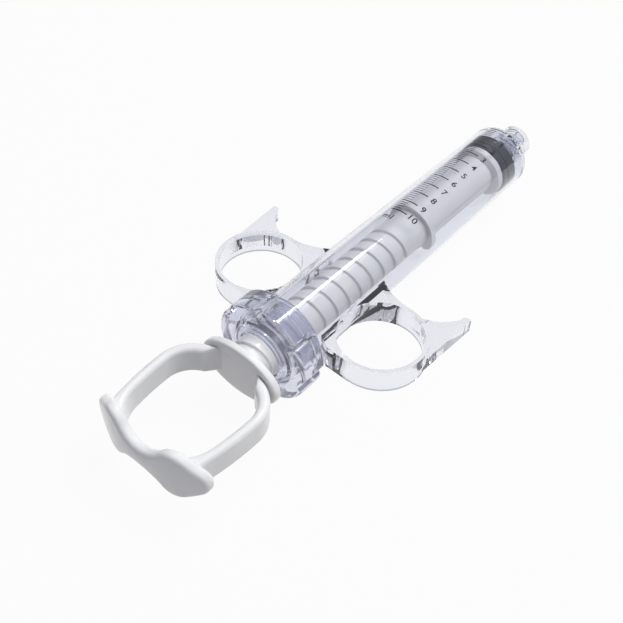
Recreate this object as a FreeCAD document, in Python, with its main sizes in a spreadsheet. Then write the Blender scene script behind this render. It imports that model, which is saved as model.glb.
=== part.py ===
import FreeCAD, Part
import Sketcher
import math
import os
import re

# Ten millilitre screw syringe for bone cement, in millimetres.
# X runs along the barrel towards the nozzle, Y towards the left finger ring, Z up.
# Each piece is drawn about the barrel's axis from a datum face of its own.

SIZES = {
    "Barrel tube": {
        "bore_radius": 8.0,
        "barrel_wall": 1.44,
        "barrel_length": 105.0,
        "front_wall": 2.0,
        "shoulder_round": 1.6,
        "spigot_wall": 0.9,
        "spigot_length": 7.35,
        "spigot_chamfer": 0.3,
        "bead_start": 2.55,
        "bead_length": 1.8,
        "bead_height": 0.46,
        "bead_ramp": 0.5,
    },
    "Finger rings": {
        "ring_station": 18.73,
        "ring_spread": 19.54,
        "finger_hole_radius": 10.86,
        "ring_band": 1.2,
        "ring_half_height": 3.38,
        "ring_draft": 1.5,
        "web_arc_radius": 17.0,
        "web_front_reach": 11.9,
        "web_rear_tip_station": 6.9,
        "web_rear_tip_spread": 12.4,
        "web_rear_root_station": 9.25,
        "horn_half_height": 1.9,
        "horn_arc_radius": 12.6,
        "horn_tip_reach": 20.0,
        "horn_tip_spread": 32.8,
        "horn_tip_width": 2.1,
        "horn_tip_round": 1.35,
    },
    "Nozzle": {
        "hub_radius": 3.0,
        "hub_length": 1.6,
        "hub_bead_height": 0.45,
        "hub_bead_land": 0.4,
        "hub_bead_ramp": 0.9,
        "nozzle_reach": 10.2,
        "nozzle_tip_radius": 2.0,
        "nozzle_taper": 0.03,
        "lumen_radius": 1.35,
    },
    "Screw thread": {
        "crest_radius": 6.0,
        "thread_lead": 4.8,
        "groove_depth": 0.6,
        "groove_mouth": 1.6,
        "groove_floor": 0.9,
        "thread_gap": 0.12,
        "rib_run": 3.6,
        "rib_mouth": 0.5,
    },
    "Turning nut": {
        "nut_length": 11.0,
        "nut_back": 3.6,
        "nut_end_gap": 0.15,
        "turning_gap": 0.08,
        "inner_tube_gap": 0.1,
        "sleeve_radius": 10.1,
        "boss_radius": 8.3,
        "boss_step": 0.9,
        "boss_step_length": 0.5,
        "boss_length": 1.1,
        "dome_radius": 11.6,
        "dome_length": 3.4,
        "dome_rim": 0.5,
        "wing_radius": 13.7,
        "wing_root": 0.5,
        "wing_start": 0.9,
        "wing_end": 8.8,
        "wing_round": 1.0,
        "upper_slot_angle": 112.0,
        "upper_slot_half": 28.0,
        "lower_slot_angle": 270.0,
        "lower_slot_half": 24.0,
        "flute_offset": 79.0,
        "flute_half": 9.0,
        "flute_floor_half": 5.0,
        "flute_depth": 1.8,
    },
    "Plunger rod": {
        "flange_half_width": 11.8,
        "flange_half_height": 7.3,
        "flange_thickness": 2.2,
        "flange_round": 0.6,
        "neck_radius": 5.3,
        "neck_length": 2.3,
        "thread_start": 0.6,
        "thread_length": 55.2,
        "thread_flat": 5.85,
        "stop_disc_station": 66.1,
        "stop_disc_radius": 7.3,
        "stop_disc_thickness": 1.7,
        "front_flat": 5.7,
        "rod_length": 98.4,
        "flare_length": 1.2,
        "piston_radius": 7.5,
        "piston_length": 2.0,
    },
    "Handle": {
        "thumb_hole_front": 5.1,
        "thumb_hole_half_width": 13.0,
        "thumb_hole_corner": 7.5,
        "thumb_hole_rear_corner": 9.0,
        "thumb_ring_band": 2.65,
        "thumb_ring_half_height": 4.0,
        "thumb_ring_round": 1.25,
        "thumb_arm_radius": 78.0,
        "bar_reach": 34.25,
        "bar_radius": 36.0,
        "bar_thickness": 3.0,
        "bar_round": 1.2,
        "bar_lobe_spread": 9.4,
        "bar_lobe_rise": 2.8,
        "bar_lobe_radius": 4.5,
        "bar_tip_spread": 12.85,
        "bar_waist": 2.8,
    },
    "Gasket and its stud": {
        "gasket_length": 7.1,
        "gasket_gap": 0.03,
        "gasket_waist_depth": 0.5,
        "gasket_lip": 0.5,
        "rear_rib_length": 2.1,
        "gasket_waist_length": 0.7,
        "gasket_nose": 0.6,
        "front_gap": 2.8,
        "stud_neck_radius": 2.6,
        "stud_neck_length": 1.6,
        "stud_head_radius": 3.4,
        "stud_head_length": 2.0,
        "stud_gap": 0.08,
    },
    "Luer lock collar": {
        "collar_gap": 0.1,
        "collar_radius": 5.0,
        "collar_length": 9.7,
        "collar_back": 1.4,
        "collar_round": 1.0,
        "lock_root_radius": 4.0,
        "lock_thread_height": 0.45,
        "lock_thread_foot": 1.2,
        "lock_thread_tip": 0.5,
        "lock_thread_lead": 5.0,
        "lock_thread_start": 2.6,
        "lock_thread_run": 5.2,
    },
}

# What follows from the driving sizes above.
DERIVED = {
    "barrel_radius": "bore_radius + barrel_wall",
    "spigot_radius": "bore_radius + spigot_wall",
    "web_root": "bore_radius + 0.4 * barrel_wall",
    "ring_radius": "finger_hole_radius + ring_band",
    "nozzle_base_station": "barrel_length + hub_length + hub_bead_land + hub_bead_ramp",
    "nozzle_end": "barrel_length + nozzle_reach",
    "nozzle_base_radius": "nozzle_tip_radius + nozzle_taper * (nozzle_end - nozzle_base_station)",
    "nut_place": "-nut_back - nut_end_gap",
    "nut_bore": "crest_radius + thread_gap",
    "inner_tube_radius": "bore_radius - inner_tube_gap",
    "sleeve_bore": "spigot_radius + turning_gap",
    "gasket_place": "barrel_length - front_wall - front_gap - gasket_length",
    "piston_station": "rod_length + flare_length + piston_length",
    "plunger_place": "gasket_place - piston_station",
    "collar_place": "barrel_length + collar_gap",
    "groove_slope": "(groove_mouth - groove_floor) / groove_depth",
    "groove_start": "thread_start + plunger_place",
    "rib_start": "groove_start + thread_lead - nut_place",
    "thumb_hole_rear": "bar_reach - bar_thickness",
    "thumb_ring_half_width": "thumb_hole_half_width + thumb_ring_band",
    "thumb_ring_corner": "thumb_hole_corner + thumb_ring_band",
    "thumb_ring_front": "0.9 * flange_thickness",
    "hole_side_radius": "thumb_arm_radius - thumb_ring_band",
    "hole_side_run": "thumb_hole_rear - thumb_hole_rear_corner - thumb_hole_front - thumb_hole_corner",
    "hole_side_rise": "sqrt((hole_side_radius - thumb_hole_rear_corner)^2 - hole_side_run^2)",
    "hole_side_share": "hole_side_radius / (hole_side_radius - thumb_hole_rear_corner)",
    "bar_centre": "bar_radius - bar_reach",
    "arm_end_radius": "bar_radius - 0.1 * bar_thickness",
    "waist_step": "bar_waist - bar_lobe_rise",
    "waist_arc": "(bar_lobe_spread^2 + waist_step^2 - bar_lobe_radius^2)"
                 " / (2 * (bar_lobe_radius - waist_step))",
    "waist_share": "waist_arc / (waist_arc + bar_lobe_radius)",
    "lobe_slope": "atan((bar_tip_spread - bar_lobe_spread) / bar_lobe_rise)",
    "wing_corner_angle": "lower_slot_half + asin(wing_round / (wing_radius - wing_round)) / 1 deg",
    "axis_height": "max((wing_radius - wing_round) * cos(wing_corner_angle) + wing_round; dome_radius)",
    "rear_end": "plunger_place - bar_reach",
    "front_end": "max(nozzle_end; collar_place + collar_length)",
    "middle": "(rear_end + front_end) / 2",
}


# Document and spreadsheet

doc = FreeCAD.newDocument("bone_cement_syringe")
sheet = doc.addObject("Spreadsheet::Sheet", "sizes")


def fill_sheet():
    row = 1
    for section, values in SIZES.items():
        sheet.set("A%d" % row, section)
        row += 1
        for alias, value in values.items():
            sheet.set("A%d" % row, alias)
            sheet.set("B%d" % row, str(value))
            sheet.setAlias("B%d" % row, alias)
            row += 1
    sheet.set("A%d" % row, "Derived sizes")
    row += 1
    for alias, formula in DERIVED.items():
        sheet.set("A%d" % row, alias)
        sheet.set("B%d" % row, "=" + formula)
        sheet.setAlias("B%d" % row, alias)
        row += 1
    doc.recompute()


def bound(formula):
    names = [name for values in SIZES.values() for name in values] + list(DERIVED)
    known = set(names)
    return re.sub(r"[a-z][a-z_]+", lambda m: "sizes." + m[0] if m[0] in known else m[0], formula)


def size(formula):
    value = sheet.evalExpression(bound(formula))
    return float(getattr(value, "Value", value))


# Helpers for bodies, sketches and features

def new_body(name, place):
    body = doc.addObject("PartDesign::Body", name)
    body.Label = name
    body.setExpression("Placement.Base.x", bound("%s - middle" % place))
    body.setExpression("Placement.Base.z", bound("axis_height"))
    return body


def origin_part(body, role):
    return next(part for part in body.Origin.OriginFeatures if part.Role == role)


def arc_centre(start, end, radius, turn):
    middle = (start + end) / 2
    chord = end - start
    reach = math.sqrt(max(radius ** 2 - (chord.Length / 2) ** 2, 0))
    return middle + FreeCAD.Vector(-chord.y, chord.x, 0).normalize() * reach * turn


def add_outline(sketch, corners):
    # A corner is (x, y) or (x, y, radius, turn): the last form leaves it along an arc,
    # turning left for 1 and right for -1.
    count = len(corners)
    points = [FreeCAD.Vector(size(corner[0]), size(corner[1]), 0) for corner in corners]
    ends = []
    for index, corner in enumerate(corners):
        start = points[index]
        end = points[(index + 1) % count]
        if len(corner) == 2:
            edge = sketch.addGeometry(Part.LineSegment(start, end))
            ends.append((edge, 1, 2))
            continue
        radius = size(corner[2])
        turn = corner[3]
        centre = arc_centre(start, end, radius, turn)
        first = start if turn > 0 else end
        last = end if turn > 0 else start
        first_angle = math.atan2(first.y - centre.y, first.x - centre.x)
        last_angle = math.atan2(last.y - centre.y, last.x - centre.x)
        circle = Part.Circle(centre, FreeCAD.Vector(0, 0, 1), radius)
        edge = sketch.addGeometry(Part.ArcOfCircle(circle, first_angle, last_angle))
        ends.append((edge, 1, 2) if turn > 0 else (edge, 2, 1))
        bind(sketch, Sketcher.Constraint("Radius", edge, radius), corner[2])
    for index, corner in enumerate(corners):
        edge, start_pos, end_pos = ends[index]
        next_edge, next_pos, _ = ends[(index + 1) % count]
        sketch.addConstraint(Sketcher.Constraint("Coincident", edge, end_pos, next_edge, next_pos))
        point = points[index]
        bind(sketch, Sketcher.Constraint("DistanceX", -1, 1, edge, start_pos, point.x), corner[0])
        bind(sketch, Sketcher.Constraint("DistanceY", -1, 1, edge, start_pos, point.y), corner[1])


def bind(sketch, constraint, formula):
    index = sketch.addConstraint(constraint)
    sketch.setExpression("Constraints[%d]" % index, bound(formula))


def new_sketch(body, name, role):
    sketch = body.newObject("Sketcher::SketchObject", name)
    sketch.AttachmentSupport = [(origin_part(body, role), "")]
    sketch.MapMode = "FlatFace"
    return sketch


def outline_sketch(body, name, role, *outlines):
    sketch = new_sketch(body, name + "_sketch", role)
    for corners in outlines:
        add_outline(sketch, corners)
    return sketch


def circle_sketch(body, name, role, across, up, radius):
    sketch = new_sketch(body, name + "_sketch", role)
    centre = FreeCAD.Vector(size(across), size(up), 0)
    circle = Part.Circle(centre, FreeCAD.Vector(0, 0, 1), size(radius))
    edge = sketch.addGeometry(circle)
    bind(sketch, Sketcher.Constraint("Radius", edge, size(radius)), radius)
    bind(sketch, Sketcher.Constraint("DistanceX", -1, 1, edge, 3, centre.x), across)
    bind(sketch, Sketcher.Constraint("DistanceY", -1, 1, edge, 3, centre.y), up)
    return sketch


def revolve(body, name, corners):
    feature = body.newObject("PartDesign::Revolution", name)
    feature.Profile = outline_sketch(body, name, "XY_Plane", corners)
    feature.ReferenceAxis = (origin_part(body, "X_Axis"), [""])
    feature.Angle = 360
    doc.recompute()
    return feature


def hollow(body, name, corners):
    feature = body.newObject("PartDesign::Groove", name)
    feature.Profile = outline_sketch(body, name, "XY_Plane", corners)
    feature.ReferenceAxis = (origin_part(body, "X_Axis"), [""])
    feature.Angle = 360
    doc.recompute()
    return feature


def pad(body, name, sketch, length, centred=False, towards_back=False, draft=None):
    feature = body.newObject("PartDesign::Pad", name)
    feature.Profile = sketch
    feature.setExpression("Length", bound(length))
    feature.Midplane = centred
    feature.Reversed = towards_back
    if draft:
        feature.setExpression("TaperAngle", bound(draft))
    doc.recompute()
    return feature


def pocket(body, name, sketch, length=None, towards_front=False, draft=None):
    feature = body.newObject("PartDesign::Pocket", name)
    feature.Profile = sketch
    if length is None:
        feature.Type = "ThroughAll"
        feature.Midplane = True
    else:
        feature.setExpression("Length", bound(length))
        feature.Reversed = towards_front
    if draft:
        feature.setExpression("TaperAngle", bound(draft))
    doc.recompute()
    return feature


def helix(body, kind, name, role, corners, lead, run):
    feature = body.newObject("PartDesign::" + kind, name)
    feature.Profile = outline_sketch(body, name, role, corners)
    feature.ReferenceAxis = (origin_part(body, "X_Axis"), [""])
    feature.Mode = 0
    feature.setExpression("Pitch", bound(lead))
    feature.setExpression("Height", bound(run))
    doc.recompute()
    return feature


def round_edges(body, name, radius, is_wanted):
    base = body.Tip
    chosen = ["Edge%d" % (index + 1) for index, edge in enumerate(base.Shape.Edges) if is_wanted(edge)]
    feature = body.newObject("PartDesign::Fillet", name)
    feature.Base = (base, chosen)
    feature.setExpression("Radius", bound(radius))
    doc.recompute()
    return feature


def off_axis(point):
    return math.hypot(point.y, point.z)


def is_circle_at(edge, station, radius):
    middle = edge.valueAt((edge.FirstParameter + edge.LastParameter) / 2)
    is_close = abs(middle.x - station) < 0.001 and abs(off_axis(middle) - radius) < 0.001
    return is_close and abs(edge.BoundBox.XLength) < 0.001


# Barrel: datum at the rear end of the spigot

def make_barrel():
    body = new_body("barrel", "0")
    add_finger_ring(body)
    mirror = body.newObject("PartDesign::Mirrored", "right_finger_ring")
    mirror.Originals = [part for part in body.Group if part.isDerivedFrom("PartDesign::FeatureAddSub")]
    mirror.MirrorPlane = (origin_part(body, "XZ_Plane"), [""])
    body.Tip = mirror
    doc.recompute()
    revolve(body, "tube", [
        ("0", "bore_radius"),
        ("0", "spigot_radius - spigot_chamfer"),
        ("spigot_chamfer", "spigot_radius"),
        ("bead_start", "spigot_radius"),
        ("bead_start + bead_ramp", "spigot_radius + bead_height"),
        ("bead_start + bead_length - bead_ramp", "spigot_radius + bead_height"),
        ("bead_start + bead_length", "spigot_radius"),
        ("spigot_length", "spigot_radius"),
        ("spigot_length", "barrel_radius"),
        ("barrel_length", "barrel_radius"),
        ("barrel_length", "hub_radius"),
        ("barrel_length + hub_length", "hub_radius"),
        ("barrel_length + hub_length", "hub_radius + hub_bead_height"),
        ("barrel_length + hub_length + hub_bead_land", "hub_radius + hub_bead_height"),
        ("nozzle_base_station", "nozzle_base_radius"),
        ("nozzle_end", "nozzle_tip_radius"),
        ("nozzle_end", "lumen_radius"),
        ("barrel_length - front_wall", "lumen_radius"),
        ("barrel_length - front_wall", "bore_radius"),
    ])
    shoulder = (size("barrel_length"), size("barrel_radius"))
    round_edges(body, "front_shoulder", "shoulder_round", lambda edge: is_circle_at(edge, *shoulder))
    return body


def add_finger_ring(body):
    ring = ("ring_station", "ring_spread", "ring_radius")
    hole = ("ring_station", "ring_spread", "finger_hole_radius")
    for side, is_lower in (("upper", False), ("lower", True)):
        sketch = circle_sketch(body, side + "_band", "XY_Plane", *ring)
        pad(body, side + "_band", sketch, "ring_half_height", towards_back=is_lower, draft="-ring_draft")
    web = outline_sketch(body, "web", "XY_Plane", [
        ("web_rear_root_station", "web_root"),
        ("ring_station + web_front_reach + web_arc_radius"
         " - sqrt(web_arc_radius^2 - (ring_spread - web_root)^2)", "web_root", "web_arc_radius", -1),
        ("ring_station + web_front_reach", "ring_spread"),
        ("ring_station - ring_radius", "ring_spread"),
        ("web_rear_tip_station", "web_rear_tip_spread"),
    ])
    pad(body, "web", web, "2 * ring_half_height", centred=True)
    tip_inner = "horn_tip_spread - horn_tip_width"
    horn = outline_sketch(body, "horn", "XY_Plane", [
        ("ring_station", "ring_spread"),
        ("ring_station + web_front_reach", "ring_spread", "horn_arc_radius", -1),
        ("ring_station + web_front_reach + horn_arc_radius"
         " - sqrt(horn_arc_radius^2 - (%s - ring_spread)^2)" % tip_inner,
         tip_inner, "horn_tip_round", 1),
        ("ring_station + horn_tip_reach", "horn_tip_spread"),
        ("ring_station", "ring_spread + ring_radius"),
    ])
    pad(body, "horn", horn, "2 * horn_half_height", centred=True)
    for side, is_upper in (("upper", True), ("lower", False)):
        sketch = circle_sketch(body, side + "_finger_hole", "XY_Plane", *hole)
        pocket(body, side + "_finger_hole", sketch, "ring_half_height", is_upper, "ring_draft")


# Turning nut: datum at its rear face

def make_turning_nut():
    body = new_body("turning_nut", "nut_place")
    wing_root = "sleeve_radius - wing_root"
    revolve(body, "wing_ring", [
        ("wing_start", wing_root),
        ("wing_start", "wing_radius"),
        ("wing_end", "wing_radius"),
        ("wing_end", wing_root),
    ])
    slots = outline_sketch(body, "wing_slots", "YZ_Plane",
                           slot_outline("upper_slot_angle", "upper_slot_half"),
                           slot_outline("lower_slot_angle", "lower_slot_half"))
    pocket(body, "wing_slots", slots)
    flutes = outline_sketch(body, "wing_flutes", "YZ_Plane",
                            flute_outline("upper_slot_angle - flute_offset"),
                            flute_outline("upper_slot_angle + flute_offset"))
    pocket(body, "wing_flutes", flutes)
    inner_limit = size("wing_radius - 0.3")
    round_edges(body, "wing_edges", "wing_round",
                lambda edge: min(off_axis(vertex.Point) for vertex in edge.Vertexes) > inner_limit)
    groove_start = "nut_end_gap + nut_back + bead_start - turning_gap"
    groove_end = "nut_end_gap + nut_back + bead_start + bead_length + turning_gap"
    groove_radius = "sleeve_bore + bead_height"
    revolve(body, "shell", [
        ("0", "nut_bore"),
        ("0", "boss_radius - boss_step"),
        ("boss_step_length", "boss_radius - boss_step"),
        ("boss_step_length", "boss_radius"),
        ("boss_length", "boss_radius"),
        ("dome_length - dome_rim", "dome_radius"),
        ("dome_length", "dome_radius"),
        ("dome_length", "sleeve_radius"),
        ("nut_length", "sleeve_radius"),
        ("nut_length", "sleeve_bore"),
        (groove_end, "sleeve_bore"),
        (groove_end + " - bead_ramp", groove_radius),
        (groove_start + " + bead_ramp", groove_radius),
        (groove_start, "sleeve_bore"),
        ("nut_back", "sleeve_bore"),
        ("nut_back", "inner_tube_radius"),
        ("nut_length", "inner_tube_radius"),
        ("nut_length", "nut_bore"),
    ])
    rib_foot = "crest_radius + 2.5 * thread_gap"
    rib_tip = "crest_radius - groove_depth + thread_gap"
    helix(body, "AdditiveHelix", "inner_thread", "XY_Plane", [
        ("rib_start - 0.5 * groove_floor - 0.5 * groove_slope * (groove_depth + 2.5 * thread_gap)"
         " + thread_gap", rib_foot),
        ("rib_start + 0.5 * groove_floor + 0.5 * groove_slope * (groove_depth + 2.5 * thread_gap)"
         " - thread_gap", rib_foot),
        ("rib_start + 0.5 * groove_floor + 0.5 * groove_slope * thread_gap - thread_gap", rib_tip),
        ("rib_start - 0.5 * groove_floor - 0.5 * groove_slope * thread_gap + thread_gap", rib_tip),
    ], "thread_lead", "rib_run")
    hollow(body, "mouth", [
        ("-rib_mouth", "0.8 * crest_radius"),
        ("rib_mouth", "0.8 * crest_radius"),
        ("rib_mouth", "nut_bore"),
        ("-rib_mouth", "nut_bore + 2 * rib_mouth"),
    ])
    return body


def slot_outline(angle, half):
    floor = "0.5 * wing_radius"
    reach = "1.3 * wing_radius / cos(%s)" % half
    return [
        ("%s * cos(%s - %s)" % (floor, angle, half), "%s * sin(%s - %s)" % (floor, angle, half)),
        ("%s * cos(%s - %s)" % (reach, angle, half), "%s * sin(%s - %s)" % (reach, angle, half)),
        ("%s * cos(%s + %s)" % (reach, angle, half), "%s * sin(%s + %s)" % (reach, angle, half)),
        ("%s * cos(%s + %s)" % (floor, angle, half), "%s * sin(%s + %s)" % (floor, angle, half)),
    ]


def flute_outline(angle):
    floor = "(wing_radius - flute_depth)"
    reach = "1.2 * wing_radius"
    return [
        ("%s * cos(%s - flute_floor_half)" % (floor, angle), "%s * sin(%s - flute_floor_half)" % (floor, angle)),
        ("%s * cos(%s - 1.5 * flute_half)" % (reach, angle), "%s * sin(%s - 1.5 * flute_half)" % (reach, angle)),
        ("%s * cos(%s + 1.5 * flute_half)" % (reach, angle), "%s * sin(%s + 1.5 * flute_half)" % (reach, angle)),
        ("%s * cos(%s + flute_floor_half)" % (floor, angle), "%s * sin(%s + flute_floor_half)" % (floor, angle)),
    ]


# Plunger: datum at the front face of its flange

def make_plunger():
    body = new_body("plunger", "plunger_place")
    add_thumb_ring(body)
    add_flange(body)
    revolve(body, "rod", [
        ("-0.5 * flange_thickness", "0"),
        ("-0.5 * flange_thickness", "neck_radius"),
        ("neck_length", "neck_radius"),
        ("neck_length", "crest_radius"),
        ("stop_disc_station", "crest_radius"),
        ("stop_disc_station", "stop_disc_radius"),
        ("stop_disc_station + stop_disc_thickness", "stop_disc_radius"),
        ("stop_disc_station + stop_disc_thickness", "crest_radius"),
        ("rod_length", "crest_radius"),
        ("rod_length + flare_length", "piston_radius"),
        ("piston_station", "piston_radius"),
        ("piston_station", "stud_neck_radius"),
        ("piston_station + stud_neck_length", "stud_neck_radius"),
        ("piston_station + stud_neck_length", "stud_head_radius"),
        ("piston_station + stud_neck_length + stud_head_length", "stud_head_radius"),
        ("piston_station + stud_neck_length + stud_head_length", "0"),
    ])
    groove_root = "crest_radius - groove_depth"
    outside = "crest_radius + 0.5 * groove_depth"
    helix(body, "SubtractiveHelix", "screw_groove", "XY_Plane", [
        ("thread_start - 0.5 * groove_floor", groove_root),
        ("thread_start + 0.5 * groove_floor", groove_root),
        ("thread_start + 0.5 * groove_floor + 0.75 * groove_slope * groove_depth", outside),
        ("thread_start - 0.5 * groove_floor - 0.75 * groove_slope * groove_depth", outside),
    ], "thread_lead", "thread_length")
    disc_end = "stop_disc_station + stop_disc_thickness"
    flats = []
    for rear, front, flat in (("neck_length", "stop_disc_station", "thread_flat"),
                              (disc_end, "rod_length", "front_flat")):
        for side in ("", "-"):
            near = side + flat
            far = side + "1.2 * crest_radius"
            flats.append([(rear, near), (front, near), (front, far), (rear, far)])
    pocket(body, "side_flats", outline_sketch(body, "side_flats", "XY_Plane", *flats))
    handle = body.newObject("PartDesign::Boolean", "handle")
    handle.Type = 0
    handle.setObjects([make_palm_bar()])
    body.Tip = handle
    doc.recompute()
    return body


def make_palm_bar():
    body = doc.addObject("PartDesign::Body", "palm_bar_shell")
    joint = ("bar_lobe_spread * waist_share", "bar_waist + waist_arc - (waist_step + waist_arc) * waist_share")
    lobe = ("bar_lobe_spread + bar_lobe_radius * cos(lobe_slope)",
            "bar_lobe_rise + bar_lobe_radius * sin(lobe_slope)")
    tip = ("bar_tip_spread + bar_lobe_radius * cos(lobe_slope)", "bar_lobe_radius * sin(lobe_slope)")
    right_half = [
        (joint[0], "-(%s)" % joint[1], "bar_lobe_radius", 1),
        (lobe[0], "-(%s)" % lobe[1]),
        (tip[0], "-(%s)" % tip[1], "bar_lobe_radius", 1),
        tip,
        lobe + ("bar_lobe_radius", 1),
        joint + ("waist_arc", -1),
    ]
    left_half = [("-(%s)" % corner[0], negative(corner[1])) + corner[2:] for corner in right_half]
    outline = outline_sketch(body, "palm_bar", "YZ_Plane", right_half + left_half)
    pad(body, "palm_bar", outline, "bar_reach", towards_back=True)
    inner = circle_sketch(body, "palm_bar_inside", "XY_Plane", "bar_centre", "0", "bar_radius - bar_thickness")
    pocket(body, "palm_bar_inside", inner)
    outer = circle_sketch(body, "palm_bar_outside", "XY_Plane", "bar_centre", "0", "bar_radius")
    frame = 2 * size("bar_radius")
    add_outline(outer, [("-2 * bar_radius", "-2 * bar_radius"), ("2 * bar_radius", "-2 * bar_radius"),
                        ("2 * bar_radius", "2 * bar_radius"), ("-2 * bar_radius", "2 * bar_radius")])
    pocket(body, "palm_bar_outside", outer)
    round_edges(body, "palm_bar_edges", "bar_round", lambda edge: edge.Length < frame)
    return body


def negative(formula):
    return "-(%s)" % formula


def add_thumb_ring(body):
    outer_corner = "-thumb_ring_front - thumb_ring_corner"
    arm_length = "(thumb_hole_rear - thumb_ring_front - thumb_ring_corner)"
    arm_end = ("thumb_ring_half_width - thumb_arm_radius"
               " + sqrt(thumb_arm_radius^2 - %s^2)" % arm_length)
    outside = outline_sketch(body, "thumb_ring", "XY_Plane", [
        ("-thumb_hole_rear", negative(arm_end), "thumb_arm_radius", 1),
        (outer_corner, "-thumb_ring_half_width", "thumb_ring_corner", 1),
        ("-thumb_ring_front", "thumb_ring_corner - thumb_ring_half_width"),
        ("-thumb_ring_front", "thumb_ring_half_width - thumb_ring_corner", "thumb_ring_corner", 1),
        (outer_corner, "thumb_ring_half_width", "thumb_arm_radius", 1),
        ("-thumb_hole_rear", arm_end, "arm_end_radius", 1),
    ])
    pad(body, "thumb_ring", outside, "2 * thumb_ring_half_height", centred=True)
    front_corner = "-thumb_hole_front - thumb_hole_corner"
    side_centre = "thumb_hole_half_width - hole_side_radius"
    side_end = front_corner + " - hole_side_run * hole_side_share"
    side_spread = side_centre + " + hole_side_rise * hole_side_share"
    rear_spread = side_centre + " + hole_side_rise"
    hole = outline_sketch(body, "thumb_hole", "XY_Plane", [
        (side_end, negative(side_spread), "hole_side_radius", 1),
        (front_corner, "-thumb_hole_half_width", "thumb_hole_corner", 1),
        ("-thumb_hole_front", "thumb_hole_corner - thumb_hole_half_width"),
        ("-thumb_hole_front", "thumb_hole_half_width - thumb_hole_corner", "thumb_hole_corner", 1),
        (front_corner, "thumb_hole_half_width", "hole_side_radius", 1),
        (side_end, side_spread, "thumb_hole_rear_corner", 1),
        ("-thumb_hole_rear", rear_spread),
        ("-thumb_hole_rear", negative(rear_spread), "thumb_hole_rear_corner", 1),
    ])
    pocket(body, "thumb_hole", hole)
    top = size("thumb_ring_half_height")
    buried = size("-thumb_hole_rear - 0.1 * bar_thickness")
    round_edges(body, "thumb_ring_edges", "thumb_ring_round",
                lambda edge: is_level(edge, top) and edge.CenterOfMass.x > buried)
    gap_front = "0.5 * (thumb_hole_rear_corner - thumb_hole_rear)"
    half_gap = "thumb_hole_half_width - 0.85 * thumb_hole_rear_corner"
    gap = outline_sketch(body, "arm_gap", "XY_Plane", [
        ("-2 * bar_reach", negative(half_gap)),
        (gap_front, negative(half_gap)),
        (gap_front, half_gap),
        ("-2 * bar_reach", half_gap),
    ])
    pocket(body, "arm_gap", gap)


def is_level(edge, height):
    box = edge.BoundBox
    return box.ZLength < 0.001 and abs(abs(box.ZMin) - height) < 0.001


def add_flange(body):
    sketch = new_sketch(body, "flange_sketch", "YZ_Plane")
    centre = FreeCAD.Vector(0, 0, 0)
    ellipse = Part.Ellipse(centre, size("flange_half_width"), size("flange_half_height"))
    edge = sketch.addGeometry(ellipse)
    sketch.exposeInternalGeometry(edge)
    sketch.addConstraint(Sketcher.Constraint("Coincident", edge, 3, -1, 1))
    sketch.addConstraint(Sketcher.Constraint("Horizontal", edge + 1))
    bind(sketch, Sketcher.Constraint("Distance", edge + 1, size("2 * flange_half_width")),
         "2 * flange_half_width")
    bind(sketch, Sketcher.Constraint("Distance", edge + 2, size("2 * flange_half_height")),
         "2 * flange_half_height")
    pad(body, "flange", sketch, "flange_thickness", towards_back=True)
    widest = size("flange_half_width")
    round_edges(body, "flange_edges", "flange_round", lambda edge: abs(edge.BoundBox.XLength) < 0.001
                and abs(edge.BoundBox.YMax - widest) < 0.001)


# Gasket: datum at its rear face

def make_gasket():
    body = new_body("gasket", "gasket_place")
    rib = "(bore_radius - gasket_gap)"
    waist = rib + " - gasket_waist_depth"
    waist_end = "rear_rib_length + gasket_waist_length"
    head_end = "stud_neck_length + stud_head_length + stud_gap"
    revolve(body, "seal", [
        ("0", "stud_neck_radius + stud_gap"),
        ("0", rib + " - gasket_lip"),
        ("gasket_lip", rib),
        ("rear_rib_length", rib),
        ("rear_rib_length", waist),
        (waist_end, waist),
        (waist_end, rib),
        ("gasket_length - gasket_nose - gasket_lip", rib),
        ("gasket_length - gasket_nose", rib + " - gasket_lip"),
        ("gasket_length", "0.6 * bore_radius"),
        ("gasket_length", "0"),
        (head_end, "0"),
        (head_end, "stud_head_radius + stud_gap"),
        ("stud_neck_length - stud_gap", "stud_head_radius + stud_gap"),
        ("stud_neck_length - stud_gap", "stud_neck_radius + stud_gap"),
    ])
    return body


# Luer lock collar: datum at its rear face

def make_collar():
    body = new_body("luer_lock_collar", "collar_place")
    hole = "hub_radius + turning_gap"
    revolve(body, "shell", [
        ("0", hole),
        ("0", "collar_radius"),
        ("collar_length", "collar_radius"),
        ("collar_length", "lock_root_radius"),
        ("collar_back", "lock_root_radius"),
        ("collar_back", hole),
    ])
    nose = (size("collar_length"), size("collar_radius"))
    round_edges(body, "nose", "0.9 * (collar_radius - lock_root_radius)",
                lambda edge: is_circle_at(edge, *nose))
    tip = "lock_root_radius - lock_thread_height"
    foot = "lock_root_radius + 0.1 * lock_thread_height"
    for name, side, plane in (("first_start", "", "XZ_Plane"), ("second_start", "-", "XZ_Plane")):
        corners = [
            ("lock_thread_start - 0.5 * lock_thread_foot", foot),
            ("lock_thread_start + 0.5 * lock_thread_foot", foot),
            ("lock_thread_start + 0.5 * lock_thread_tip", tip),
            ("lock_thread_start - 0.5 * lock_thread_tip", tip),
        ]
        sided = [(along, "%s(%s)" % (side, out)) for along, out in corners]
        helix(body, "AdditiveHelix", name, plane, sided, "lock_thread_lead", "lock_thread_run")
    return body


# Checks and export

def check(bodies):
    failed = [part.Name for part in doc.Objects if {"Invalid", "Error"} & set(part.State)]
    if failed:
        raise RuntimeError("failed: " + ", ".join(failed))
    for body in bodies:
        if body.Shape.isNull() or not body.Shape.isValid() or len(body.Shape.Solids) != 1:
            raise RuntimeError("bad shape: " + body.Label)


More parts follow.
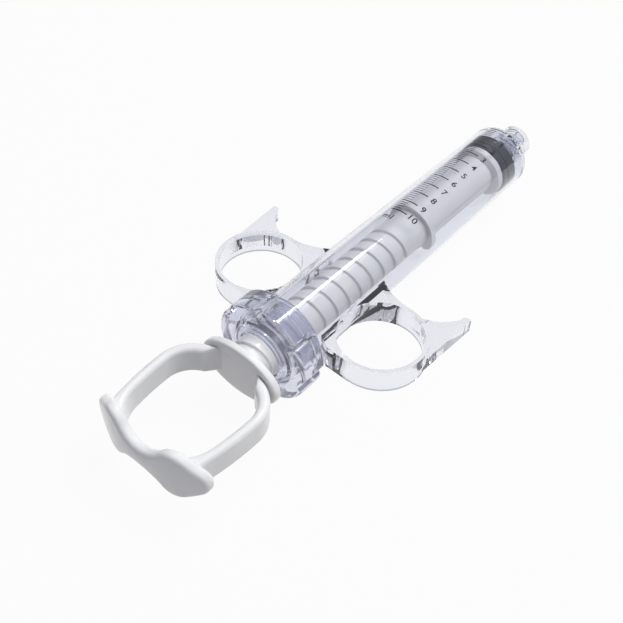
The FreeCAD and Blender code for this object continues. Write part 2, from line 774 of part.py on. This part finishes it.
def main():
    fill_sheet()
    bodies = [make_barrel(), make_turning_nut(), make_plunger(), make_gasket(), make_collar()]
    doc.recompute()
    check(bodies)
    os.makedirs("parts", exist_ok=True)
    for body in bodies:
        body.Shape.exportStep("parts/%s.step" % body.Label)
        box = body.Shape.BoundBox
        print("%s: volume %.1f, x %.2f to %.2f, y %.2f to %.2f, z %.2f to %.2f" % (
            body.Label, body.Shape.Volume, box.XMin, box.XMax, box.YMin, box.YMax, box.ZMin, box.ZMax))


main()
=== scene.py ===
import math

import bmesh
import bpy
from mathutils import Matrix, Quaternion, Vector


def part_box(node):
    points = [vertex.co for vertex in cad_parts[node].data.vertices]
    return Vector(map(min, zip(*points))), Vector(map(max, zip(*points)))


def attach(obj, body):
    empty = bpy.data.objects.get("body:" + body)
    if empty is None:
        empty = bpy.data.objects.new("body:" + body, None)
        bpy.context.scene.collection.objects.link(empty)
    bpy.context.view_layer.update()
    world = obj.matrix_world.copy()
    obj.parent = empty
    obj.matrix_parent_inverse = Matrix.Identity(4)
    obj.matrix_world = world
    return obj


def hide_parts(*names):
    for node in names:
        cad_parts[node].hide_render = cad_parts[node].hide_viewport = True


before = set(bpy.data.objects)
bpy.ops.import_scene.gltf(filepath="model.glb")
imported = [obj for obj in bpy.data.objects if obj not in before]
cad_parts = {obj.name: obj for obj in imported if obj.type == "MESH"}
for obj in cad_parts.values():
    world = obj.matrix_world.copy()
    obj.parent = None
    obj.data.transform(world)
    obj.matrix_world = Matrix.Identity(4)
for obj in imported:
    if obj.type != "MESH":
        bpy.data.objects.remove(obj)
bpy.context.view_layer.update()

scene = bpy.context.scene
mm = 0.001
fullWhite = (1, 1, 1, 1)

# Where the syringe lies: its axis is level, and the scale is measured from the spigot's rear end
axisHeight = (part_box("luer_lock_collar")[0].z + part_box("luer_lock_collar")[1].z) / 2
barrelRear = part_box("barrel")[0].x
print("frame loaded, axis %.2f mm up" % (axisHeight / mm))


# Scene helpers

def addObject(name, data):
    made = bpy.data.objects.new(name, data)
    scene.collection.objects.link(made)
    return made


def lookAgainst(holder, back, turn):
    # A camera or lamp looks along the reverse of back, turned by so many degrees about it
    holder.rotation_mode = "QUATERNION"
    holder.rotation_quaternion = back.to_track_quat("Z", "Y") @ Quaternion((0, 0, 1), math.radians(turn))


# Shader helpers

class Wire:
    # A node's output; sums and products with numbers or other wires add Math nodes
    def __init__(self, tree, socket):
        self.tree = tree
        self.socket = socket

    def calc(self, operation, first, second):
        return node(self.tree, "ShaderNodeMath", {"operation": operation}, {0: first, 1: second})

    def __add__(self, other):
        return self.calc("ADD", self, other)

    def __radd__(self, other):
        return self.calc("ADD", other, self)

    def __sub__(self, other):
        return self.calc("SUBTRACT", self, other)

    def __rsub__(self, other):
        return self.calc("SUBTRACT", other, self)

    def __mul__(self, other):
        return self.calc("MULTIPLY", self, other)

    def __rmul__(self, other):
        return self.calc("MULTIPLY", other, self)


def node(tree, kind, settings, inputs, output=0):
    made = tree.nodes.new(kind)
    for name, value in settings.items():
        if name == "stops":
            ramp = made.color_ramp
            while len(ramp.elements) < len(value):
                ramp.elements.new(0.5)
            for element, (place, colour) in zip(ramp.elements, value):
                element.position = place
                element.color = colour
        else:
            setattr(made, name, value)
    for name, value in inputs.items():
        if isinstance(value, Wire):
            tree.links.new(value.socket, made.inputs[name])
        else:
            made.inputs[name].default_value = value
    return Wire(tree, made.outputs[output]) if made.outputs else None


def newMaterial(name):
    material = bpy.data.materials.new(name)
    material.use_nodes = True
    material.node_tree.nodes.clear()
    return material, material.node_tree


def finishMaterial(tree, shader):
    node(tree, "ShaderNodeOutputMaterial", {}, {"Surface": shader})


def noise(tree, place, scale, detail=2):
    return node(tree, "ShaderNodeTexNoise", {}, {"Vector": place, "Scale": scale, "Detail": detail})


def bumps(tree, height, strength, depth):
    return node(tree, "ShaderNodeBump", {}, {"Strength": strength, "Distance": depth, "Height": height})


def objectPlace(tree):
    return node(tree, "ShaderNodeTexCoord", {}, {}, "Object")


def lightPath(tree, kind):
    return node(tree, "ShaderNodeLightPath", {}, {}, kind)


def anyRay(tree, *kinds):
    # 1 for a ray of any of these kinds, 0 for all others
    found = lightPath(tree, kinds[0])
    for kind in kinds[1:]:
        found = found.calc("MAXIMUM", found, lightPath(tree, kind))
    return found


def blendColours(tree, factor, first, second):
    return node(tree, "ShaderNodeMix", {"data_type": "RGBA"}, {0: factor, 6: first, 7: second}, 2)


# Materials: a pattern's scale is its cells per metre, and a depth is in metres

clearBarrelPlastic = {
    "colour": (0.83, 0.845, 0.90, 1),
    "flowColour": (0.88, 0.89, 0.935, 1),
    "flowScale": 60,
    "roughness": 0.015,
    "flowRoughness": 0.03,
    "refraction": 1.5,
    "clearness": 0.98,      # the rest is the faint haze of moulded plastic
    "ripple": 0.02,
    "rippleScale": 220,
    "rippleDepth": 0.0004,
    "shade": 0.12,          # how much light it stops on the way to what lies inside or under it
}
clearNutPlastic = dict(clearBarrelPlastic, colour=(0.75, 0.765, 0.89, 1), flowColour=(0.83, 0.845, 0.94, 1),
                       roughness=0.03, clearness=0.9, ripple=0.05, shade=0.2)


def makeClearPlastic(name, settings):
    material, tree = newMaterial(name)
    place = objectPlace(tree)
    flow = noise(tree, place, settings["flowScale"])
    ripple = noise(tree, place, settings["rippleScale"])
    lit = anyRay(tree, "Is Shadow Ray", "Is Diffuse Ray")
    shader = node(tree, "ShaderNodeBsdfPrincipled", {}, {
        "Base Color": blendColours(tree, flow, settings["colour"], settings["flowColour"]),
        "Roughness": settings["roughness"] + settings["flowRoughness"] * flow,
        "IOR": settings["refraction"],
        "Transmission Weight": settings["clearness"],
        "Alpha": 1 - (1 - settings["shade"]) * lit,
        "Normal": bumps(tree, ripple, settings["ripple"], settings["rippleDepth"]),
    })
    finishMaterial(tree, shader)
    return material


whitePlastic = {
    "colour": (0.78, 0.78, 0.775, 1),
    "cloudColour": (0.74, 0.74, 0.735, 1),
    "cloudScale": 45,
    "roughness": 0.35,
    "cloudRoughness": 0.08,
    "coat": 0.7,
    "coatRoughness": 0.03,
    "grain": 0.06,
    "grainScale": 1800,
    "grainDepth": 0.0001,
}


def makeWhitePlastic(name, settings):
    material, tree = newMaterial(name)
    place = objectPlace(tree)
    cloud = noise(tree, place, settings["cloudScale"], detail=3)
    grain = noise(tree, place, settings["grainScale"])
    shader = node(tree, "ShaderNodeBsdfPrincipled", {}, {
        "Base Color": blendColours(tree, cloud, settings["colour"], settings["cloudColour"]),
        "Roughness": settings["roughness"] + settings["cloudRoughness"] * cloud,
        "Coat Weight": settings["coat"],
        "Coat Roughness": settings["coatRoughness"],
        "Normal": bumps(tree, grain, settings["grain"], settings["grainDepth"]),
    })
    finishMaterial(tree, shader)
    return material


blackRubber = {
    "colour": (0.004, 0.006, 0.013, 1),
    "bloomColour": (0.012, 0.016, 0.03, 1),
    "bloomScale": 300,
    "roughness": 0.25,
    "bloomRoughness": 0.2,
    "grain": 0.1,
    "grainScale": 2500,
    "grainDepth": 0.0001,
}


def makeBlackRubber(name, settings):
    material, tree = newMaterial(name)
    place = objectPlace(tree)
    bloom = noise(tree, place, settings["bloomScale"], detail=3)
    grain = noise(tree, place, settings["grainScale"])
    shader = node(tree, "ShaderNodeBsdfPrincipled", {}, {
        "Base Color": blendColours(tree, bloom, settings["colour"], settings["bloomColour"]),
        "Roughness": settings["roughness"] + settings["bloomRoughness"] * bloom,
        "Normal": bumps(tree, grain, settings["grain"], settings["grainDepth"]),
    })
    finishMaterial(tree, shader)
    return material


scaleInk = {
    "colour": (0.006, 0.006, 0.009, 1),
    "thinColour": (0.03, 0.03, 0.04, 1),
    "patchScale": 1500,
    "roughness": 0.6,
    "patchRoughness": 0.1,
}


def makeScaleInk(name, settings):
    material, tree = newMaterial(name)
    patch = noise(tree, objectPlace(tree), settings["patchScale"])
    shader = node(tree, "ShaderNodeBsdfPrincipled", {}, {
        "Base Color": blendColours(tree, patch * patch, settings["colour"], settings["thinColour"]),
        "Roughness": settings["roughness"] + settings["patchRoughness"] * patch,
    })
    finishMaterial(tree, shader)
    return material


clearMaterial = makeClearPlastic("clearPlastic", clearBarrelPlastic)
nutMaterial = makeClearPlastic("clearNutPlastic", clearNutPlastic)
whiteMaterial = makeWhitePlastic("whitePlastic", whitePlastic)
rubberMaterial = makeBlackRubber("blackRubber", blackRubber)
inkMaterial = makeScaleInk("scaleInk", scaleInk)
print("materials made")


# Moulded pieces: each CAD node's surface, merged and shaded smooth between its real edges

creaseAngle = math.radians(28)
mergeDistance = 0.002 * mm
sliverLength = 0.001 * mm

thumbRing = {
    "rodLength": 105.2,     # from the plunger's front end back to the flange's front face
    "flangeRear": 2.2,      # these run back from there
    "wallRear": 6.2,
    "flangeSkin": 0.005,    # what lies this near the flange's rear face stays on it
    "halfHeight": 4.01,
    "seatHeight": 3.46,     # the wall's half height where it meets the flange
    "seatSlope": 0.5,       # how deep the wall's rounded edge sinks for its height above that
    "flatTo": 5.6,          # half the wall's flat width, then half the width to the fillets' ends
    "filletTo": 8.6,
}


def addPiece(name, mesh, material, bodyName):
    piece = addObject(name, mesh)
    mesh.materials.clear()
    mesh.materials.append(material)
    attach(piece, bodyName)
    return piece


def openOnFlange(form, settings):
    # The thumb ring's arms run into the flange, so the wall between them sinks into its rear face
    datum = max(vert.co.x for vert in form.verts) / mm - settings["rodLength"]
    filletWidth = settings["filletTo"] - settings["flatTo"]
    for vert in form.verts:
        behind = datum - vert.co.x / mm
        height = abs(vert.co.z - axisHeight) / mm
        inWall = settings["flangeRear"] + settings["flangeSkin"] < behind < settings["wallRear"]
        if not inWall or height >= settings["halfHeight"]:
            continue
        spread = (abs(vert.co.y) / mm - settings["flatTo"]) / filletWidth
        share = 1 - min(max(spread, 0), 1)
        eased = share * share * (3 - 2 * share)
        seat = settings["flangeRear"] - settings["seatSlope"] * max(height - settings["seatHeight"], 0)
        vert.co.x = (datum - behind + eased * (behind - seat)) * mm
    bmesh.ops.remove_doubles(form, verts=form.verts, dist=mergeDistance)
    bmesh.ops.dissolve_degenerate(form, edges=form.edges, dist=sliverLength)


def mouldedCopy(nodeName, name, material, bodyName, slotName):
    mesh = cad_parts[nodeName].data.copy()
    mesh.name = name
    if "custom_normal" in mesh.attributes:
        mesh.attributes.remove(mesh.attributes["custom_normal"])
    form = bmesh.new()
    form.from_mesh(mesh)
    bmesh.ops.remove_doubles(form, verts=form.verts, dist=mergeDistance)
    if nodeName == "plunger":
        openOnFlange(form, thumbRing)
    for face in form.faces:
        face.smooth = True
    for edge in form.edges:
        edge.smooth = edge.calc_face_angle(0) < creaseAngle
    form.to_mesh(mesh)
    form.free()
    piece = addPiece(name, mesh, material, bodyName)
    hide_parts(nodeName)
    print("%s: %d triangles" % (name, len(mesh.polygons)))


mouldedPieces = {
    "barrel": ("clearBarrel", clearMaterial, "barrel", "clear_plastic"),
    "turning_nut": ("clearNut", nutMaterial, "nut", "clear_plastic"),
    "plunger": ("whitePlunger", whiteMaterial, "plunger", "white_plastic"),
    "gasket": ("rubberGasket", rubberMaterial, "plunger", "black_rubber"),
    "luer_lock_collar": ("clearCollar", clearMaterial, "luer_collar", "clear_plastic"),
}

for nodeName, pieceValues in mouldedPieces.items():
    mouldedCopy(nodeName, *pieceValues)


# Printed scale, wrapped on the barrel: marks and digits run round from +Y over the top

scale = {
    "radius": 9.44,
    "lift": 0.03,
    "zero": 102.83,         # station of the 0 mark from the barrel's rear end
    "step": 4.97,           # one millilitre
    "units": 10,
    "marksPerUnit": 5,
    "markFrom": 69.0,
    "majorTo": 99.0,
    "minorTo": 84.0,
    "majorWidth": 0.42,
    "minorWidth": 0.26,
    "markPieces": 10,       # flat pieces that take a mark round the barrel
    "digitAngle": 111.0,
    "digitSize": 2.9,
    "digitBold": 0.04,
    "digitSpacing": 1.1,
    "longestEdge": 0.6,     # a digit's longer edges are halved before it is wrapped
    "unitStation": 49.5,
    "unitAngle": 78.0,
}


def wrapOnBarrel(form, station, angle, settings):
    # A point (across, up) goes across millimetres round the barrel and up along it
    for vert in form.verts:
        turn = math.radians(angle) + vert.co.x / settings["radius"]
        reach = (settings["radius"] + settings["lift"] + vert.co.z) * mm
        vert.co = Vector((barrelRear + (station + vert.co.y) * mm,
                          reach * math.cos(turn), axisHeight + reach * math.sin(turn)))


def joinForm(whole, form):
    mesh = bpy.data.meshes.new("part")
    form.to_mesh(mesh)
    form.free()
    whole.from_mesh(mesh)
    bpy.data.meshes.remove(mesh)


def addMark(whole, station, kind, settings):
    form = bmesh.new()
    fromAngle = settings["markFrom"]
    toAngle = settings[kind + "To"]
    across = math.radians(toAngle - fromAngle) * settings["radius"]
    bmesh.ops.create_grid(form, x_segments=settings["markPieces"], y_segments=1, size=0.5)
    bmesh.ops.scale(form, vec=(across, settings[kind + "Width"], 1), verts=form.verts)
    wrapOnBarrel(form, station, (fromAngle + toAngle) / 2, settings)
    joinForm(whole, form)


def addText(whole, text, station, angle, settings):
    curve = bpy.data.curves.new("digits", "FONT")
    curve.body = text
    curve.size = settings["digitSize"]
    curve.align_x = "CENTER"
    curve.align_y = "CENTER"
    curve.space_character = settings["digitSpacing"]
    curve.offset = settings["digitBold"]
    holder = addObject("digits", curve)
    bpy.context.view_layer.update()
    mesh = bpy.data.meshes.new_from_object(holder)
    form = bmesh.new()
    form.from_mesh(mesh)
    bmesh.ops.triangulate(form, faces=form.faces)
    longEdges = [edge for edge in form.edges if edge.calc_length() > settings["longestEdge"]]
    bmesh.ops.subdivide_edges(form, edges=longEdges, cuts=1)
    wrapOnBarrel(form, station, angle, settings)
    joinForm(whole, form)
    bpy.data.objects.remove(holder)
    bpy.data.curves.remove(curve)
    bpy.data.meshes.remove(mesh)


def makeScale(settings):
    whole = bmesh.new()
    perUnit = settings["marksPerUnit"]
    for count in range(settings["units"] * perUnit + 1):
        station = settings["zero"] - settings["step"] * count / perUnit
        addMark(whole, station, "minor" if count % perUnit else "major", settings)
    for count in range(1, settings["units"] + 1):
        station = settings["zero"] - settings["step"] * count
        addText(whole, str(count), station, settings["digitAngle"], settings)
    addText(whole, "ml", settings["unitStation"], settings["unitAngle"], settings)
    mesh = bpy.data.meshes.new("printedScale")
    whole.to_mesh(mesh)
    whole.free()
    addPiece("printedScale", mesh, inkMaterial, "barrel")


makeScale(scale)
print("scale printed")


# Camera, where the photograph was taken from: lengths in millimetres, angles in degrees

view = {
    "target": (barrelRear / mm + 16.03, -0.1, 12.16),
    "turn": 218.184,
    "rise": 46.352,
    "roll": 2.736,
    "distance": 228.39,
    "lens": 52.436,
    "sensorWidth": 36,
    "nearest": 10,
}


def makeCamera(settings):
    turn = math.radians(settings["turn"])
    rise = math.radians(settings["rise"])
    back = Vector((math.cos(turn) * math.cos(rise), math.sin(turn) * math.cos(rise), math.sin(rise)))
    camera = addObject("camera", bpy.data.cameras.new("camera"))
    camera.location = (Vector(settings["target"]) + back * settings["distance"]) * mm
    lookAgainst(camera, back, settings["roll"])
    camera.data.lens = settings["lens"]
    camera.data.sensor_width = settings["sensorWidth"]
    camera.data.clip_start = settings["nearest"] * mm
    scene.camera = camera


makeCamera(view)


# Floor, world and soft lamps, in metres

studio = {
    "floorHalfWidth": 6,
    "floorDrop": 0.00005,
    "floorShadow": 0.05,
    "floorColour": (0.42, 0.42, 0.43, 1),
    "sky": (0.34, 0.345, 0.385, 1),
    "skyFrom": 0.6,
    "horizon": (0.24, 0.24, 0.27, 1),
    "horizonTo": 0.25,
    "brightBehindGlass": 0.3,
}

# Each lamp looks at the origin and turns about its beam; a mirrored one shows in gloss and plastic
lamps = {
    "overheadSoftbox": {
        "place": (0.5, -0.3, 0.95),
        "width": 1.0,
        "length": 1.0,
        "watts": 14.0,
        "turn": 0,
        "mirrored": False,
    },
    "frontStrip": {
        "place": (0.341, 0.07, 0.56),
        "width": 0.06,
        "length": 0.15,
        "watts": 0.5,
        "turn": -13.6,
        "mirrored": True,
    },
}


def makeFloor(settings):
    mesh = bpy.data.meshes.new("floor")
    form = bmesh.new()
    bmesh.ops.create_grid(form, x_segments=1, y_segments=1, size=settings["floorHalfWidth"])
    bmesh.ops.translate(form, vec=(0, 0, -settings["floorDrop"]), verts=form.verts)
    form.to_mesh(mesh)
    form.free()
    floor = addObject("floor", mesh)
    material, tree = newMaterial("paleFloor")
    seen = anyRay(tree, "Is Camera Ray", "Is Glossy Ray", "Is Transmission Ray")
    paper = node(tree, "ShaderNodeBsdfDiffuse", {}, {"Color": settings["floorColour"]})
    white = node(tree, "ShaderNodeEmission", {}, {"Color": fullWhite})
    shader = node(tree, "ShaderNodeMixShader", {}, {
        0: seen * (1 - settings["floorShadow"]), 1: paper, 2: white})
    finishMaterial(tree, shader)
    mesh.materials.append(material)


def makeWorld(settings):
    world = bpy.data.worlds.new("studio")
    world.use_nodes = True
    scene.world = world
    tree = world.node_tree
    tree.nodes.clear()
    camera = lightPath(tree, "Is Camera Ray")
    through = lightPath(tree, "Is Transmission Ray")
    direction = node(tree, "ShaderNodeTexCoord", {}, {}, "Generated")
    height = node(tree, "ShaderNodeSeparateXYZ", {}, {0: direction}, "Z")
    sky = node(tree, "ShaderNodeValToRGB", {"stops": [
        (0.0, settings["horizon"]), (settings["horizonTo"], settings["horizon"]),
        (settings["skyFrom"], settings["sky"]), (1.0, settings["sky"])]}, {"Fac": height})
    behindGlass = blendColours(tree, through * settings["brightBehindGlass"], sky, fullWhite)
    colour = blendColours(tree, camera, behindGlass, fullWhite)
    background = node(tree, "ShaderNodeBackground", {}, {"Color": colour})
    node(tree, "ShaderNodeOutputWorld", {}, {"Surface": background})


def addLamp(name, settings):
    lamp = bpy.data.lights.new(name, "AREA")
    lamp.shape = "RECTANGLE"
    lamp.size = settings["width"]
    lamp.size_y = settings["length"]
    lamp.energy = settings["watts"]
    holder = addObject(name, lamp)
    holder.location = settings["place"]
    lookAgainst(holder, Vector(settings["place"]), settings["turn"])
    holder.visible_glossy = settings["mirrored"]
    holder.visible_transmission = settings["mirrored"]


makeFloor(studio)
makeWorld(studio)
for lampName, lampValues in lamps.items():
    addLamp(lampName, lampValues)
scene.view_settings.view_transform = "Standard"
print("studio lit")
